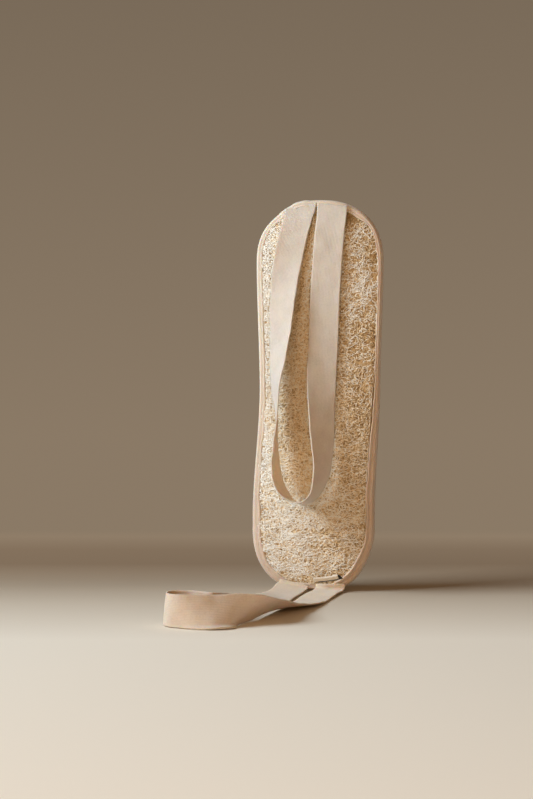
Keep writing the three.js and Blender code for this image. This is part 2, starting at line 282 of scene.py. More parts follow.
# How the floor darkens from in front of the pad to behind it, a painted falloff of light: the reach, and
# shades along it. Behind the pad the floor also has a painted glow in the backdrop's colour, and its painted
# shade warms as it darkens
FLOOR_FADE = (-0.25, 0.5)
FLOOR_GLOW = (0.03, 0.43)
FLOOR_WARMING = (1.0, 1.18, 1.37)
FLOOR_SHADES = (
    (0.0, 1.0),
    (0.12, 0.85),
    (0.227, 0.71),
    (0.287, 0.61),
    (0.349, 0.51),
    (0.42, 0.4),
    (0.493, 0.304),
    (0.573, 0.188),
    (0.733, 0.09),
    (1.0, 0.0),
)
# The square soft lights: name, place, size, the setting that holds its power, and colour
LIGHTS = (
    ("key_light", (-2.52, -1.43, 1.96), 1.5, "key", (0.78, 0.90, 1.0)),
    ("fill_light", (0.05, -1.6, 0.2), 1.3, "fill", (1.0, 0.57, 0.26)),
    ("rim_light", (1.6, 1.8, 1.2), 1.5, "rim", (1.0, 0.88, 0.74)),
)
LIGHT_AIM = Vector((0, 0, 0.16))

# Stops of the loops, in millimetres: a point on the tape's first edge, then one towards its other edge
UPPER_ROUTE = (
    (-22, -8.2, 321.6, 4.2, -8.4, 326.2),
    (-22.6, -9.8, 316.8, 3.6, -10, 320.4),
    (-23.9, -12.2, 311, 1.7, -12.4, 313.4),
    (-26.6, -14.2, 300, -1.6, -15, 300),
    (-32, -15.2, 273, -7.1, -16.8, 273),
    (-33.4, -15.4, 246, -10.4, -25.4, 246),
    (-33.5, -15.4, 218, -13.1, -29.8, 218),
    (-32.4, -16.6, 184, -18.5, -37.4, 184),
    (-28.6, -16.8, 148, -22.5, -40.8, 148),
    (-26.9, -18, 125, -25.1, -42.6, 126),
    (-24.2, -18.8, 102.2, -26.2, -43.4, 103.8),
    (-18, -18.8, 84.5, -22.2, -43, 87),
    (-11.7, -18.6, 76.6, -12.7, -42.8, 79.2),
    (-5, -18.4, 73.8, -6.3, -42.8, 77.4),
    (2.5, -18.2, 75.8, -0.5, -42.6, 78.8),
    (9.6, -17.8, 83.2, 5, -42.2, 85.2),
    (17.4, -17, 102.4, 8, -40, 104),
    (19.6, -15.8, 121, 5.4, -36.2, 121.8),
    (20.8, -15.4, 148, 2.2, -31.6, 148),
    (22.6, -15.3, 184, -1.2, -22, 184),
    (24, -15.2, 211, -0.8, -16.4, 211),
    (25.3, -15.1, 246, 0.3, -15.6, 246),
    (27, -15, 272, 2, -15, 272),
    (29.1, -14.2, 300, 4.1, -14.3, 300),
    (30.2, -12.2, 313, 5.2, -12.3, 313),
    (30.4, -10, 317.6, 5.1, -10, 320),
    (30.5, -8.5, 322.4, 5.2, -8.6, 325.8),
)
LOWER_ROUTE = (
    (4.2, -8.9, 6.2, 29, -8.9, 6.8),
    (4, -10.4, 3, 28.8, -10.4, 3.4),
    (3.3, -14.5, 1.5, 28.1, -14.5, 1.6),
    (1.6, -28, 0.9, 26.4, -28, 0.9),
    (0.6, -55, 0.7, 25.6, -57, 0.9),
    (-0.5, -80, 0.7, 24.2, -87, 1.8),
    (-2.8, -104, 0.8, 20.4, -112, 4.2),
    (-6, -133, 1.2, 13.4, -146, 10.4),
    (-8, -155, 1.6, 10, -167, 15.2),
    (-10, -175, 1.6, 6, -184, 19),
    (-14.5, -192, 1, -1.2, -195, 22.4),
    (-17.2, -203, 0.5, -9.5, -201.5, 23.6),
    (-18.8, -213, 0.3, -18.5, -206.5, 23.9),
    (-26, -221, 0.3, -29, -211.5, 23.8),
    (-38, -223.5, 0.25, -41, -219.5, 24.4),
    (-54, -222, 0.2, -54, -222.8, 24.7),
    (-63.5, -218.5, 0.2, -62.5, -219.5, 24.7),
    (-69, -211, 0.2, -66.5, -211, 24.6),
    (-65.2, -204.4, 0.2, -64.6, -204.2, 24.5),
    (-54.5, -200.2, 0.2, -54, -199.8, 24.2),
    (-43, -201.2, 0.2, -44.6, -201.8, 23.8),
    (-30, -203.3, 0.3, -34, -204.8, 23.4),
    (-24, -198.3, 0.4, -31.8, -200.6, 22.2),
    (-20.6, -185, 0.5, -32, -188.2, 20.2),
    (-17.4, -166, 0.5, -32.4, -170.5, 18),
    (-15, -147, 0.6, -33.2, -152, 15.6),
    (-11.8, -126, 0.7, -32, -131.5, 13),
    (-8, -105, 0.7, -30.6, -110.5, 9.4),
    (-4.4, -82, 0.7, -28.4, -87, 6.6),
    (-3.4, -56, 0.7, -28.2, -58, 4.4),
    (-3.2, -30, 0.8, -28.4, -30, 4.6),
    (-3, -15.5, 1.1, -28.4, -16.2, 6.2),
    (-2.6, -11, 2, -27.2, -11.1, 7.4),
    (-2.2, -9.1, 4, -26.8, -9.2, 9.4),
)


def size_prop(name, description, default):
    """A length that a user may change."""
    return FloatProperty(name=name, description=description, default=default, unit="LENGTH", precision=5)


def colour_prop(name, description, default):
    """A colour that a user may change."""
    return FloatVectorProperty(
        name=name, description=description, default=default, subtype="COLOR", size=3, min=0.0, max=1.0
    )


def count_prop(name, description, default, low, high):
    """A whole number that a user may change."""
    return IntProperty(name=name, description=description, default=default, min=low, max=high)


def power_prop(name, description, default):
    """A light's power that a user may change."""
    return FloatProperty(name=name, description=description, default=default, unit="POWER")


def angle_prop(name, description, degrees):
    """An angle that a user may change."""
    return FloatProperty(name=name, description=description, default=math.radians(degrees), unit="ROTATION")


class PadSizes(bpy.types.PropertyGroup):
    """The pad's outline and faces, which follow the solids."""

    height: size_prop("Height", "Height of the bound pad", BINDING_HIGH[2] - LAP_ROOM)
    lean: size_prop("Lean", "How far the top stands to the right of the bottom", LEAN)
    lean_from: size_prop("Lean from", "Height where the lean begins", 60 * MM)
    lean_to: size_prop("Lean to", "Height where the lean ends", 175 * MM)
    half_top: size_prop("Half width at top", "Half the width near the top", BINDING_HIGH[0] - LEAN)
    half_waist: size_prop("Half width at waist", "Half the width at the narrowest", 51.3 * MM)
    half_bottom: size_prop("Half width at bottom", "Half the width near the bottom", -BINDING_LOW[0])
    waist_height: size_prop("Waist height", "Height of the narrowest place", 165 * MM)
    waist_reach: size_prop("Waist reach", "How far the narrowing spreads up and down", 115 * MM)
    top_rise: size_prop("Top rise", "Height of the rounded top end", 52 * MM)
    bottom_rise: size_prop("Bottom rise", "Height of the rounded bottom end", 53 * MM)
    floor_press: size_prop("Floor press", "How much of the bottom is pressed flat", 2 * MM)
    lip: size_prop("Binding lip", "Width of the binding on each face", 5.2 * MM)
    front_proud: size_prop("Front", "How far the loofah stands in front of the middle", -LOOFAH_LOW[1])
    back_proud: size_prop("Back", "How far the backing stands behind the middle", BACKING_HIGH[1])


class LoofahLook(bpy.types.PropertyGroup):
    """The net of fibres."""

    fibre: size_prop("Fibre", "Radius of a fibre of the top layer", 0.28 * MM)
    step: size_prop("Step", "Length between two points of a fibre", 1.25 * MM)
    count: count_prop("Fibres", "Fibres in each layer of the net", 2500, 1, 4000)
    points: count_prop("Points", "Points along each fibre", 10, 3, 40)
    lump: size_prop("Lumps", "Height of the lumps in the net", 1.25 * MM)
    white: colour_prop("White", "Colour of the palest fibres", (0.965, 0.955, 0.91))
    cream: colour_prop("Cream", "Colour of the bleached top fibres", (0.955, 0.92, 0.82))
    tan: colour_prop("Tan", "Colour of the fibres below them", (0.91, 0.73, 0.46))
    brown: colour_prop("Brown", "Colour deep in the net", (0.5, 0.34, 0.165))
    seed: count_prop("Seed", "Seed of the fibres' wandering", 11, 0, 9999)


class ClothLook(bpy.types.PropertyGroup):
    """The binding, backing, tape and thread."""

    binding: colour_prop("Binding", "Colour of the binding cloth", (0.66, 0.51, 0.395))
    # Painted light: the binding's paler colour where the light falls on its upper left
    binding_lit: colour_prop("Pale binding", "Colour of its bleached left edge", (0.80, 0.70, 0.59))
    tape: colour_prop("Tape", "Colour of the upper loop's tape", (0.67, 0.603, 0.527))
    # Painted light: the upper loop's inner side is a warmer, paler copy of its tape, for warm light passing
    # through and bouncing onto it in the shade
    tape_inside_warm_light: colour_prop("Tape inside", "Colour of the upper loop's inner side", (0.85, 0.70, 0.52))
    # Painted light: the lower loop is paler beside the pad, for light bounced from the pad
    tape_foot_lit: colour_prop("Tape at foot", "Colour of the lower loop beside the pad", (0.77, 0.625, 0.475))
    # Painted shade: the lower loop is a warmer copy of the same tape, for the warm shade it lies in
    tape_low_warm_shade: colour_prop("Lower tape", "Colour of the lower loop's tape", (0.665, 0.555, 0.445))
    terry: colour_prop("Terry", "Colour of the backing's loops", (0.74, 0.64, 0.52))
    # The thread is darker than the binding, partly its own colour and partly painted shade, so that the
    # groove it lies in reads as a dark line
    thread: colour_prop("Thread", "Colour of the sewing thread", (0.54, 0.40, 0.29))
    tape_width: size_prop("Tape width", "Width of the cotton tape", 24.6 * MM)
    tape_thick: size_prop("Tape thickness", "Thickness of the cotton tape", 1.0 * MM)
    binding_thick: size_prop("Binding thickness", "Thickness of the binding cloth", 0.9 * MM)
    thread_radius: size_prop("Thread radius", "Radius of the sewing thread", 0.24 * MM)
    stitch: size_prop("Stitch", "Length of one stitch", 2.5 * MM)


class LabelLook(bpy.types.PropertyGroup):
    """The bare folded label."""

    width: size_prop("Width", "Width of the label", 21 * MM)
    length: size_prop("Length", "Length of the folded label", 6.6 * MM)
    outside: colour_prop("Outside", "Colour of the label's bare face", (0.92, 0.85, 0.73))
    inside: colour_prop("Inside", "Colour of the label's dark side", (0.02, 0.019, 0.018))


class StageLook(bpy.types.PropertyGroup):
    """The floor, light and camera."""

    floor: colour_prop("Floor", "Colour of the pale floor", (0.93, 0.86, 0.74))
    air: colour_prop("Surroundings", "Colour of the warm surroundings", (0.15, 0.10, 0.06))
    backdrop: colour_prop("Backdrop", "Colour of the plain backdrop", (0.256, 0.194, 0.133))
    key: power_prop("Key", "Power of the large soft light", 129.0)
    fill: power_prop("Fill", "Power of the warm light in the shade", 10.0)
    rim: power_prop("Rim", "Power of the light from behind", 3.5)
    lens: FloatProperty(name="Lens", description="Focal length in millimetres", default=71.73)
    camera: FloatVectorProperty(
        name="Camera", description="Place of the camera", default=(0.2641, -1.3204, 0.186), unit="LENGTH"
    )
    yaw: angle_prop("Yaw", "Turn of the camera to the left", 13)
    pitch: angle_prop("Pitch", "Tilt of the camera downwards", 1.06)


def smooth(t):
    """An eased step from 0 to 1."""
    t = np.clip(t, 0.0, 1.0)
    return t * t * (3 - 2 * t)


def bell(value, at, reach):
    """A smooth bump, 1 at a place, that falls off over the reach."""
    return np.exp(-(((value - at) / reach) ** 2))


def round_bumps(x, z, rows):
    """Round bumps at places, from rows of x, z, reach and height."""
    total = 0.0
    for at_x, at_z, reach, height in rows:
        total = total + height * np.exp(-((x - at_x) ** 2 + (z - at_z) ** 2) / reach**2)
    return total


def distances(points):
    """How far along a line each of its points is."""
    return np.append(0, np.cumsum(np.linalg.norm(np.diff(points, axis=0), axis=1)))


def unit(rows):
    """Directions of length 1."""
    return rows / np.linalg.norm(rows, axis=1)[:, None]


class PadShape:
    """The pad's outline and faces, worked out from its sizes. Takes single numbers or arrays."""

    END_POWER = 2.3
    BULGE_POWER = 0.95
    EDGE_FACE = 5.2 * MM
    RISE_WIDTH = 4 * MM
    RISE_SHARE = 0.12
    LEFT_FULLER = 1.3 * MM
    RIGHT_FULLER = 1.0 * MM
    UNDER_LIP = 0.035
    RIGHT_GAP = 0.06
    GAP_TOP = 210 * MM
    GAP_EASE = 70 * MM
    BACK_EDGE = 5.6 * MM
    DENSE = 240
    SPAN = 3
    # The corners that are flatter than round ones: x, z, reach and depth
    CORNER_PRESSES = ((-32 * MM, 316 * MM, 15 * MM, 1.5 * MM), (46 * MM, 24 * MM, 17 * MM, 1.8 * MM))
    # Places where the loofah's edge gapes from the binding: x, z, reach and depth
    TUCKS = (
        (33.5 * MM, 315.5 * MM, 9 * MM, 5.0 * MM),
        (52 * MM, 284 * MM, 16 * MM, 2.4 * MM),
        (-46 * MM, 148 * MM, 18 * MM, 1.6 * MM),
    )

    def __init__(self, sizes):
        self.sizes = sizes
        self.top_start = sizes.height - sizes.top_rise
        self.bottom_start = sizes.bottom_rise - sizes.floor_press
        self.lip_share = 1 - sizes.lip / sizes.half_waist

    def middle(self, z):
        """The outline's middle at a height."""
        sizes = self.sizes
        return sizes.lean * smooth((z - sizes.lean_from) / (sizes.lean_to - sizes.lean_from))

    def half_width(self, z):
        """Half the outline's width at a height between the rounded ends."""
        sizes = self.sizes
        end = np.where(z > sizes.waist_height, sizes.half_top, sizes.half_bottom)
        reach = smooth(np.abs(z - sizes.waist_height) / sizes.waist_reach)
        return sizes.half_waist + (end - sizes.half_waist) * reach

    def spine(self, x, z):
        """The nearest point of the pad's middle line, and the share of the way out to the edge."""
        start = np.clip(z, self.bottom_start, self.top_start)
        rise = np.where(z > start, self.sizes.top_rise, self.sizes.bottom_rise)
        middle = self.middle(start)
        across = np.abs(x - middle) / self.half_width(start)
        up = np.abs(z - start) / rise
        return middle, start, (across**self.END_POWER + up**self.END_POWER) ** (1 / self.END_POWER)

    def swelling(self, out):
        """How full the pad is, from 1 at the middle to 0 at the lip."""
        return np.maximum(0.0, 1 - (out / self.lip_share) ** 2) ** self.BULGE_POWER

    def front(self, x, z):
        """Depth of the loofah's front at a place, which dips under the lip at its edge."""
        out = self.spine(x, z)[2]
        inside = (self.lip_share - out) * self.sizes.half_waist - self.tuck(x, z)
        rise = smooth(inside / self.RISE_WIDTH + 0.5)
        full = self.RISE_SHARE * rise + (1 - self.RISE_SHARE) * self.swelling(out)
        right = smooth(x / self.sizes.half_waist)
        edge = self.EDGE_FACE + self.LEFT_FULLER * smooth(-x / self.sizes.half_waist)
        edge = edge + self.RIGHT_FULLER * (right - self.low_right(x, z))
        return -edge - (self.sizes.front_proud - edge) * full

    def low_right(self, x, z):
        """1 low down on the right, where a groove runs beside the lip, and 0 elsewhere."""
        return smooth(x / self.sizes.half_waist) * smooth((self.GAP_TOP - z) / self.GAP_EASE)

    def fibre_limit(self, x, z):
        """How far out the fibres reach: under the lip, but short of it low down on the right."""
        return self.lip_share + self.UNDER_LIP - self.RIGHT_GAP * self.low_right(x, z)

    def tuck(self, x, z):
        """How far the loofah's edge draws back from the binding where the two gape."""
        return round_bumps(x, z, self.TUCKS)

    def back(self, x, z):
        """Depth of the backing's outer face at a place."""
        out = self.spine(x, z)[2]
        return self.BACK_EDGE + (self.sizes.back_proud - self.BACK_EDGE) * self.swelling(out)

    def keep_in(self, x, z, limit):
        """Places drawn in so that none is further out than the limit."""
        middle, start, out = self.spine(x, z)
        draw = np.minimum(1.0, limit / np.maximum(out, TINY))
        return middle + (x - middle) * draw, start + (z - start) * draw

    def ring(self, count):
        """Evenly spaced points round the outline, their outward directions and the length round."""
        sizes = self.sizes
        turn = np.linspace(0, math.pi, self.DENSE, endpoint=False)
        rise = np.linspace(self.bottom_start, self.top_start, self.DENSE, endpoint=False)
        fall = np.linspace(self.top_start, self.bottom_start, self.DENSE, endpoint=False)
        power = 2 / self.END_POWER
        round_x = np.sign(np.cos(turn)) * np.abs(np.cos(turn)) ** power
        round_z = np.abs(np.sin(turn)) ** power
        x = np.concatenate(
            (
                self.middle(rise) + self.half_width(rise),
                self.middle(self.top_start) + self.half_width(self.top_start) * round_x,
                self.middle(fall) - self.half_width(fall),
                self.middle(self.bottom_start) - self.half_width(self.bottom_start) * round_x,
            )
        )
        z = np.concatenate(
            (
                rise,
                self.top_start + sizes.top_rise * round_z,
                fall,
                np.maximum(0.0, self.bottom_start - sizes.bottom_rise * round_z),
            )
        )
        x, z = np.append(x, x[0]), np.append(z, z[0])
        along = distances(np.stack((x, z), axis=1))
        even = np.linspace(0, along[-1], count, endpoint=False)
        points = np.stack((np.interp(even, along, x), np.interp(even, along, z)), axis=1)
        ahead = unit(np.roll(points, -self.SPAN, axis=0) - np.roll(points, self.SPAN, axis=0))
        outward = np.stack((ahead[:, 1], -ahead[:, 0]), axis=1)
        inward = round_bumps(points[:, 0], points[:, 1], self.CORNER_PRESSES)
        return points - outward * inward[:, None], outward, along[-1]


def rough(x, y, z, grain, seed):
    """Smooth noise from -1 to 1 at a place, with lumps about as wide as the grain."""
    return noise.noise(Vector((x / grain + seed, y / grain - seed, z / grain + 2 * seed)))


def lumps(x, z, look):
    """Depth of the loofah's lumps at places: broad slanting ones with finer ones over them."""
    places = list(zip(x, z))
    broad = [rough(a + LUMP_SLANT * b, 0, LUMP_STRETCH * b, BROAD_LUMP, seed=3.1) for a, b in places]
    fine = [rough(a, 0, b, FINE_LUMP, seed=7.7) for a, b in places]
    flatter = 1 - LEFT_FLATTER * smooth(-np.asarray(x) / FLATTER_REACH)
    return -look.lump * flatter * (np.array(broad) + FINE_SHARE * np.array(fine))


def curve_through(stops, per_stop):
    """Points of a centripetal Catmull-Rom curve through the stops."""
    stops = np.asarray(stops, dtype=float)
    before = 2 * stops[0] - stops[1]
    after = 2 * stops[-1] - stops[-2]
    knots = np.vstack((before, stops, after))
    gaps = np.maximum(np.linalg.norm(np.diff(knots, axis=0), axis=1) ** 0.5, TINY)
    part = np.linspace(0, 1, per_stop, endpoint=False)[:, None]
    pieces = []
    for i in range(1, len(knots) - 2):
        a, b, c, d = knots[i - 1 : i + 3]
        first, middle, last = gaps[i - 1 : i + 2]
        leave = ((b - a) / first - (c - a) / (first + middle) + (c - b) / middle) * middle
        arrive = ((c - b) / middle - (d - b) / (middle + last) + (d - c) / last) * middle
        square = -3 * b + 3 * c - 2 * leave - arrive
        cube = 2 * b - 2 * c + leave + arrive
        pieces.append(b + leave * part + square * part**2 + cube * part**3)
    return np.vstack(pieces + [stops[-1:]])


class TapeRun:
    """A tape laid along a route: its first edge, the way across it and the way through it."""

    PER_STOP = 40
    WIDEST = 1.1

    def __init__(self, route, width, count):
        stops = np.array(route) * MM
        edge = curve_through(stops[:, :3], self.PER_STOP)
        other = curve_through(stops[:, 3:], self.PER_STOP)
        middle = (edge + other) / 2
        along = distances(middle)
        self.length = along[-1]
        self.places = np.linspace(0, self.length, count + 1)
        self.edge = self.spread(along, edge)
        ahead = unit(np.gradient(self.spread(along, middle), axis=0))
        across = self.spread(along, other - edge)
        gap = np.linalg.norm(across, axis=1)[:, None]
        self.across = np.clip(gap, width, self.WIDEST * width) * across / gap
        self.through = unit(np.cross(ahead, across))

    def spread(self, along, values):
        """Values at even places along the tape."""
        return np.stack([np.interp(self.places, along, column) for column in values.T], axis=1)

    def at(self, index, share, lift):
        """A point of the tape, a share of the way across and lifted off its face."""
        return Vector(self.edge[index] + self.across[index] * share + self.through[index] * lift)


def cloth_grid(segments, flat, place):
    """A bmesh of cloth: a flat grid with its UV map in metres, and each vertex put where place says."""
    along, across = segments
    cloth = bmesh.new()
    uv_map = cloth.loops.layers.uv.new("weave")
    bmesh.ops.create_grid(cloth, x_segments=along, y_segments=across, size=0.5)
    for face in cloth.faces:
        for loop in face.loops:
            spot = loop.vert.co
            loop[uv_map].uv = ((spot.x + 0.5) * flat[0], (spot.y + 0.5) * flat[1])
    for vert in cloth.verts:
        vert.co = place(vert.co.x + 0.5, vert.co.y + 0.5)
    return cloth


def add_object(name, data):
    """A new object in the scene."""
    made = bpy.data.objects.new(name, data)
    bpy.context.scene.collection.objects.link(made)
    return made


def mesh_from(name, shape):
    """A mesh from a bmesh, which is freed."""
    mesh = bpy.data.meshes.new(name)
    shape.to_mesh(mesh)
    shape.free()
    return mesh


def make_piece(name, shape, materials, replaces=()):
    """A finished object from a bmesh or a mesh, smooth, riding on the part's one body."""
    mesh = mesh_from(name, shape) if isinstance(shape, bmesh.types.BMesh) else shape
    mesh.name = name
    mesh.shade_smooth()
    mesh.materials.clear()
    for finish in materials:
        mesh.materials.append(finish)
    piece = add_object(name, mesh)
    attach(piece, "root")
    if replaces:
        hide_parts(*replaces)
    return piece


def thicken(piece, depth, offset, inside=0):
    """Gives a sheet its thickness. Inside is the number of its inner side's material."""
    wall = piece.modifiers.new("Thickness", "SOLIDIFY")
    wall.thickness = depth
    wall.offset = offset
    wall.use_even_offset = True
    wall.material_offset = inside


def set_sockets(node, values):
    """Sets unlinked inputs of a node by their names."""
    for name, value in values.items():
        node.inputs[name].default_value = value


def start_material(name, roughness):
    """A matt material, ready for its own nodes."""
    material = bpy.data.materials.new(name)
    material.use_nodes = True
    shader = material.node_tree.nodes["Principled BSDF"]
    set_sockets(shader, {"Roughness": roughness, "Specular IOR Level": 0.25})
    return material, material.node_tree, shader


def add_node(tree, kind, settings=(), inputs=()):
    """A shader node with its settings and unlinked inputs filled in."""
    made = tree.nodes.new(kind)
    for name, value in dict(settings).items():
        setattr(made, name, value)
    set_sockets(made, dict(inputs))
    return made


def object_place(tree):
    """The piece's own coordinates."""
    return add_node(tree, "ShaderNodeTexCoord").outputs["Object"]


def weave_place(tree):
    """The coordinates of a cloth's flat map."""
    return add_node(tree, "ShaderNodeUVMap", {"uv_map": "weave"}).outputs["UV"]


def turned_place(tree, turn):
    """The piece's own coordinates, turned about its origin."""
    made = add_node(tree, "ShaderNodeMapping", inputs={"Rotation": turn})
    tree.links.new(object_place(tree), made.inputs["Vector"])
    return made.outputs["Vector"]


def noise_node(tree, source, scale):
    """A noise texture on a coordinate output."""
    made = add_node(tree, "ShaderNodeTexNoise", inputs={"Scale": scale, "Detail": 3.0})
    tree.links.new(source, made.inputs["Vector"])
    return made.outputs["Fac"]


def wave_node(tree, source, pitch, direction, distortion):
    """Bands of a given pitch along one direction. At a scale of 1 they are pi / 10 apart."""
    made = add_node(
        tree,
        "ShaderNodeTexWave",
        {"wave_type": "BANDS", "bands_direction": direction, "wave_profile": "SIN"},
        {"Scale": math.pi / 10 / pitch, "Distortion": distortion, "Detail": 1.0},
    )
    tree.links.new(source, made.inputs["Vector"])
    return made.outputs["Fac"]


def math_node(tree, operation, first, second):
    """One sum on two sockets or numbers."""
    made = add_node(tree, "ShaderNodeMath", {"operation": operation})
    for slot, value in enumerate((first, second)):
        if isinstance(value, (int, float)):
            made.inputs[slot].default_value = value
        else:
            tree.links.new(value, made.inputs[slot])
    return made.outputs[0]


def share_node(tree, source, axis, start, full):
    """A value that goes from 0 at the start to 1 at the full place along an axis of a coordinate."""
    split = add_node(tree, "ShaderNodeSeparateXYZ")
    tree.links.new(source, split.inputs["Vector"])
    made = add_node(tree, "ShaderNodeMapRange", inputs={"From Min": start, "From Max": full})
    tree.links.new(split.outputs[axis], made.inputs["Value"])
    return made.outputs["Result"]


def ramp_node(tree, source, stops):
    """Colours spread along a value from 0 to 1."""
    made = tree.nodes.new("ShaderNodeValToRGB")
    while len(made.color_ramp.elements) < len(stops):
        made.color_ramp.elements.new(0.5)
    for element, (place, colour) in zip(made.color_ramp.elements, stops):
        element.position = place
        element.color = (*colour, 1.0)
    tree.links.new(source, made.inputs["Fac"])
    return made.outputs["Color"]


def sum_node(tree, parts):
    """The sum of values, each times its weight."""
    total = 0.0
    for value, weight in parts:
        total = math_node(tree, "ADD", total, math_node(tree, "MULTIPLY", value, weight))
    return total


def blend_node(tree, share, first, second):
    """A colour that goes over to another as the share rises from 0 to 1."""
    made = add_node(tree, "ShaderNodeMix", {"data_type": "RGBA"})
    sockets = {socket.identifier: socket for socket in (*made.inputs, *made.outputs)}
    for name, value in (("Factor_Float", share), ("A_Color", first), ("B_Color", second)):
        tree.links.new(value, sockets[name])
    return sockets["Result_Color"]


def bump_node(tree, height, distance, under=None):
    """A bump from a height, over another bump where there is one."""
    made = add_node(tree, "ShaderNodeBump", inputs={"Strength": 1.0, "Distance": distance})
    tree.links.new(height, made.inputs["Height"])
    if under is not None:
        tree.links.new(under, made.inputs["Normal"])
    return made.outputs["Normal"]


def shade(colour, by):
    """A colour made darker or lighter."""
    return tuple(min(1.0, part * by) for part in colour)


def shades(colour, rows):
    """Stops of one colour, darker or lighter as the rows say."""
    return [(place, shade(colour, by)) for place, by in rows]


def dress(tree, shader, colour, relief):
    """Gives a shader its colour and its relief."""
    tree.links.new(colour, shader.inputs["Base Color"])
    tree.links.new(relief, shader.inputs["Normal"])


def fibre_material(look):
    """Bleached plant fibre: cream on top and browner with depth, partly its own colour and partly painted
    shade, with dry speckle along each strand.
    """
    material, tree, shader = start_material("loofah_fibre", roughness=0.82)
    depth = add_node(tree, "ShaderNodeAttribute", {"attribute_name": "tone"}).outputs["Fac"]
    place = object_place(tree)
    patch = math_node(tree, "SUBTRACT", noise_node(tree, place, scale=120.0), 0.5)
    tone = math_node(tree, "ADD", depth, math_node(tree, "MULTIPLY", patch, FIBRE_UNEVEN))
    stops = ((0.0, look.brown), (0.42, look.tan), (0.74, look.cream), (1.0, look.white))
    grain = noise_node(tree, place, scale=1500.0)
    dress(tree, shader, ramp_node(tree, tone, stops), bump_node(tree, grain, 0.08 * MM))
    return material


def core_material(look):
    """The shaded fibre deep in the pad."""
    material, tree, shader = start_material("loofah_core", roughness=0.9)
    mottle = noise_node(tree, object_place(tree), scale=420.0)
    stops = ((0.3, look.brown), (0.5, shade(look.tan, CORE_SHADE)), (0.7, look.tan))
    dress(tree, shader, ramp_node(tree, mottle, stops), bump_node(tree, mottle, 0.9 * MM))
    return material


def weave_material(name, colour, pitch, relief, sheen, painted_light):
    """Plain woven cotton: crossing threads, thick and thin places and faint uneven colour.

    Painted light gives a second colour, which stands in for light falling on part of the cloth, a turn about
    Y, and the axis and two places, in the turned coordinates, between which the cloth goes over to it."""
    material, tree, shader = start_material(name, roughness=0.86)
    uv = weave_place(tree)
    place = object_place(tree)
    warp = wave_node(tree, uv, pitch, "X", distortion=0.25)
    weft = wave_node(tree, uv, WEFT_PITCH * pitch, "Y", distortion=0.25)
    weave = math_node(tree, "MULTIPLY", warp, weft)
    slub = noise_node(tree, place, scale=700.0)
    patch = noise_node(tree, place, scale=70.0)
    tint = sum_node(tree, ((weave, 0.3), (slub, 0.45), (patch, 0.45)))
    second, turn, axis, start, full = painted_light
    share = share_node(tree, turned_place(tree, (0.0, turn, 0.0)), axis, start, full)
    first, last = [ramp_node(tree, tint, shades(part, WEAVE_SHADES)) for part in (colour, second)]
    fuzz = bump_node(tree, slub, relief)
    dress(tree, shader, blend_node(tree, share, first, last), bump_node(tree, weave, relief, fuzz))
    set_sockets(shader, {"Sheen Weight": sheen, "Sheen Roughness": 0.6, **THIN_CLOTH})
    return material


def terry_material(colour):
    """Looped cotton cloth with soft uneven nap."""
    material, tree, shader = start_material("terry_loops", roughness=0.92)
    place = object_place(tree)
    nap = noise_node(tree, place, scale=1300.0)
    tint = sum_node(tree, ((nap, 0.6), (noise_node(tree, place, scale=60.0), 0.4)))
    dress(tree, shader, ramp_node(tree, tint, shades(colour, TERRY_SHADES)), bump_node(tree, nap, 0.25 * MM))
    set_sockets(shader, {"Sheen Weight": 0.3})
    return material


def thread_material(colour):
    """Twisted sewing thread."""
    material, tree, shader = start_material("sewing_thread", roughness=0.7)
    ply = wave_node(tree, object_place(tree), 0.35 * MM, "DIAGONAL", distortion=0.4)
    dress(tree, shader, ramp_node(tree, ply, shades(colour, THREAD_SHADES)), bump_node(tree, ply, 0.05 * MM))
    return material


def label_materials(look):
    """The label's bare satin face and its dark side."""
    finishes = []
    for name, colour in (("label_face", look.outside), ("label_dark", look.inside)):
        material, tree, shader = start_material(name, roughness=0.55)
        ribs = wave_node(tree, weave_place(tree), 0.35 * MM, "Y", distortion=0.3)
        stops = shades(colour, LABEL_SHADES)
        dress(tree, shader, ramp_node(tree, ribs, stops), bump_node(tree, ribs, 0.04 * MM))
        set_sockets(shader, {"Sheen Weight": 0.2})
        finishes.append(material)
    return finishes


def floor_material(look):
    """A pale matt floor with painted shade that darkens it behind the pad, and a painted glow that fades it
    there into the backdrop's colour.
    """
    material, tree, shader = start_material("pale_floor", roughness=0.75)
    turned = turned_place(tree, (0.0, 0.0, -look.yaw))
    # Painted shade: the floor's colour darkens, and warms, towards behind the pad
    stops = []
    for at, by in FLOOR_SHADES:
        stops.append((at, [part * by**power for part, power in zip(look.floor, FLOOR_WARMING)]))
    fade = share_node(tree, turned, "Y", *FLOOR_FADE)
    tree.links.new(ramp_node(tree, fade, stops), shader.inputs["Base Color"])
    # Painted glow: behind the pad the floor glows in the backdrop's colour
    glow = share_node(tree, turned, "Y", *FLOOR_GLOW)
    tree.links.new(glow, shader.inputs["Emission Strength"])
    set_sockets(shader, {"Emission Color": (*look.backdrop, 1.0), "Specular IOR Level": 0.0})
    return material


def backdrop_material(colour):
    """A plain backdrop, lit evenly on its own, a little darker towards its top."""
    material, tree, shader = start_material("plain_backdrop", roughness=1.0)
    share = share_node(tree, object_place(tree), "Z", 0.0, BACKDROP_TOP)
    stops = shades(colour, BACKDROP_SHADES)
    tree.links.new(ramp_node(tree, share, stops), shader.inputs["Emission Color"])
    black = (0.0, 0.0, 0.0, 1.0)
    set_sockets(shader, {"Emission Strength": 1.0, "Base Color": black, "Specular IOR Level": 0.0})
    return material


